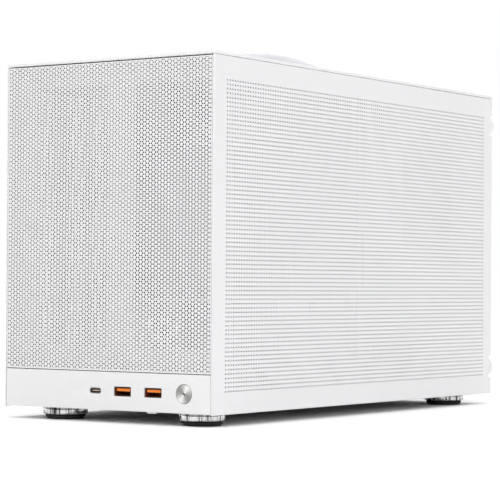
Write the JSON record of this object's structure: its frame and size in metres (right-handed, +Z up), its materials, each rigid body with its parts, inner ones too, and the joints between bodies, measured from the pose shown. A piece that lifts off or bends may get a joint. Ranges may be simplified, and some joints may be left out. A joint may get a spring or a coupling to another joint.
{
  "type": "desktop computer tower",
  "caption": "Upright computer case with perforated sides, mesh front over a port strip, round feet, rear thumbscrews and a carrying strap, with its inner parts.",
  "frame": {"origin": "on the surface the feet stand on, under the middle of the outline", "axes": "+Z up, the front faces -Y, +X to the right seen from the front"},
  "size_m": [0.176, 0.3856, 0.2639],
  "materials": {
    "white_paint": "satin powder coat",
    "mesh_paint": "satin powder coat",
    "chassis_paint": "satin powder coat",
    "black_paint": "satin",
    "zinc_steel": "brushed",
    "spun_metal": "spun",
    "chrome": "polished",
    "pad_rubber": "matte",
    "strap_silicone": "satin",
    "port_c": "dark satin",
    "port_a": "dark satin with an orange tongue",
    "board_green": "solder mask",
    "board_black": "solder mask",
    "black_plastic": "matte",
    "fin_aluminium": "plain",
    "heat_spreader": "anodised",
    "shroud_plastic": "satin",
    "drive_shell": "anodised",
    "lead_rubber": "matte"
  },
  "bodies": {
    "chassis": {"top_cover": "white_paint", "front_band": "white_paint", "usb_c_port": "port_c", "usb_a_port_1": "port_a", "usb_a_port_2": "port_a", "io_circuit_board": "board_green", "power_switch": "black_plastic", "carry_strap": "strap_silicone", "strap_anchor_front": "zinc_steel", "strap_anchor_rear": "zinc_steel", "strap_screw_front": "zinc_steel", "strap_screw_rear": "zinc_steel", "chassis_base": "chassis_paint", "rear_panel": "chassis_paint", "front_frame": "chassis_paint", "top_rail_left": "chassis_paint", "top_rail_right": "chassis_paint", "motherboard_tray": "chassis_paint", "centre_bracket": "chassis_paint", "motherboard": "board_black", "memory_module_1": "heat_spreader", "memory_module_2": "heat_spreader", "rear_io_block": "zinc_steel", "cpu_heatsink": "fin_aluminium", "cpu_fan_frame": "black_plastic", "rear_fan_frame": "black_plastic", "psu_case": "black_paint", "mains_inlet": "black_plastic", "gpu_board": "board_black", "gpu_shroud": "shroud_plastic", "gpu_backplate": "heat_spreader", "gpu_heatsink": "fin_aluminium", "gpu_bracket": "zinc_steel", "drive": "drive_shell", "mains_lead": "lead_rubber", "main_power_loom": "lead_rubber", "front_port_lead": "lead_rubber", "foot_ring_front_left": "chrome", "foot_pad_front_left": "pad_rubber", "foot_ring_front_right": "chrome", "foot_pad_front_right": "pad_rubber", "foot_ring_rear_left": "chrome", "foot_pad_rear_left": "pad_rubber", "foot_ring_rear_right": "chrome", "foot_pad_rear_right": "pad_rubber"},
    "right_panel": {"right_panel": "white_paint"},
    "left_panel": {"left_panel": "white_paint"},
    "front_mesh": {"front_mesh": "mesh_paint"},
    "power_button": {"power_button": "spun_metal"},
    "cpu_fan": {"cpu_fan_rotor": "black_plastic"},
    "rear_fan": {"rear_fan_rotor": "black_plastic"},
    "psu_fan": {"psu_fan_rotor": "black_plastic"},
    "gpu_fan_1": {"gpu_fan_rotor_1": "black_plastic"},
    "gpu_fan_2": {"gpu_fan_rotor_2": "black_plastic"},
    "psu_rocker": {"psu_rocker": "black_plastic"},
    "thumbscrew_left_bottom": {"thumbscrew_left_bottom": "white_paint"},
    "thumbscrew_left_top": {"thumbscrew_left_top": "white_paint"},
    "thumbscrew_right_bottom": {"thumbscrew_right_bottom": "white_paint"},
    "thumbscrew_right_top": {"thumbscrew_right_top": "white_paint"}
  },
  "joints": [
    {"name": "right_panel_pull", "type": "slide", "parent": "chassis", "child": "right_panel", "axis": [1, 0, 0], "range_m": [0, 0.02]},
    {"name": "left_panel_pull", "type": "slide", "parent": "chassis", "child": "left_panel", "axis": [-1, 0, 0], "range_m": [0, 0.02]},
    {"name": "front_mesh_pull", "type": "slide", "parent": "chassis", "child": "front_mesh", "axis": [0, -1, 0], "range_m": [0, 0.012]},
    {"name": "power_button_press", "type": "slide", "parent": "chassis", "child": "power_button", "axis": [0, 1, 0], "range_m": [0, 0.0012], "stiffness_N_per_m": 600, "springref_m": -0.0006},
    {"name": "thumbscrew_left_bottom_turn", "type": "hinge", "parent": "chassis", "child": "thumbscrew_left_bottom", "pos_m": [-0.0802, 0.18595, 0.0289], "axis": [0, 1, 0], "range_deg": [0, 1080]},
    {"name": "thumbscrew_left_top_turn", "type": "hinge", "parent": "chassis", "child": "thumbscrew_left_top", "pos_m": [-0.0802, 0.18595, 0.2204], "axis": [0, 1, 0], "range_deg": [0, 1080]},
    {"name": "thumbscrew_right_bottom_turn", "type": "hinge", "parent": "chassis", "child": "thumbscrew_right_bottom", "pos_m": [0.0802, 0.18595, 0.0289], "axis": [0, 1, 0], "range_deg": [0, 1080]},
    {"name": "thumbscrew_right_top_turn", "type": "hinge", "parent": "chassis", "child": "thumbscrew_right_top", "pos_m": [0.0802, 0.18595, 0.2204], "axis": [0, 1, 0], "range_deg": [0, 1080]},
    {"name": "cpu_fan_spin", "type": "hinge", "parent": "chassis", "child": "cpu_fan", "pos_m": [-0.011, 0.063, 0.16], "axis": [0, 1, 0], "continuous": true},
    {"name": "rear_fan_spin", "type": "hinge", "parent": "chassis", "child": "rear_fan", "pos_m": [-0.03, 0.16945, 0.178], "axis": [0, 1, 0], "continuous": true},
    {"name": "psu_fan_spin", "type": "hinge", "parent": "chassis", "child": "psu_fan", "pos_m": [0.072, -0.1085, 0.1338], "axis": [1, 0, 0], "continuous": true},
    {"name": "gpu_fan_1_spin", "type": "hinge", "parent": "chassis", "child": "gpu_fan_1", "pos_m": [0.005, 0.008, 0.0412], "axis": [0, 0, -1], "continuous": true},
    {"name": "gpu_fan_2_spin", "type": "hinge", "parent": "chassis", "child": "gpu_fan_2", "pos_m": [0.005, 0.113, 0.0412], "axis": [0, 0, -1], "continuous": true},
    {"name": "psu_rocker_tilt", "type": "hinge", "parent": "chassis", "child": "psu_rocker", "pos_m": [0.034, -0.136, 0.0884], "axis": [-1, 0, 0], "range_deg": [0, 16]}
  ]
}
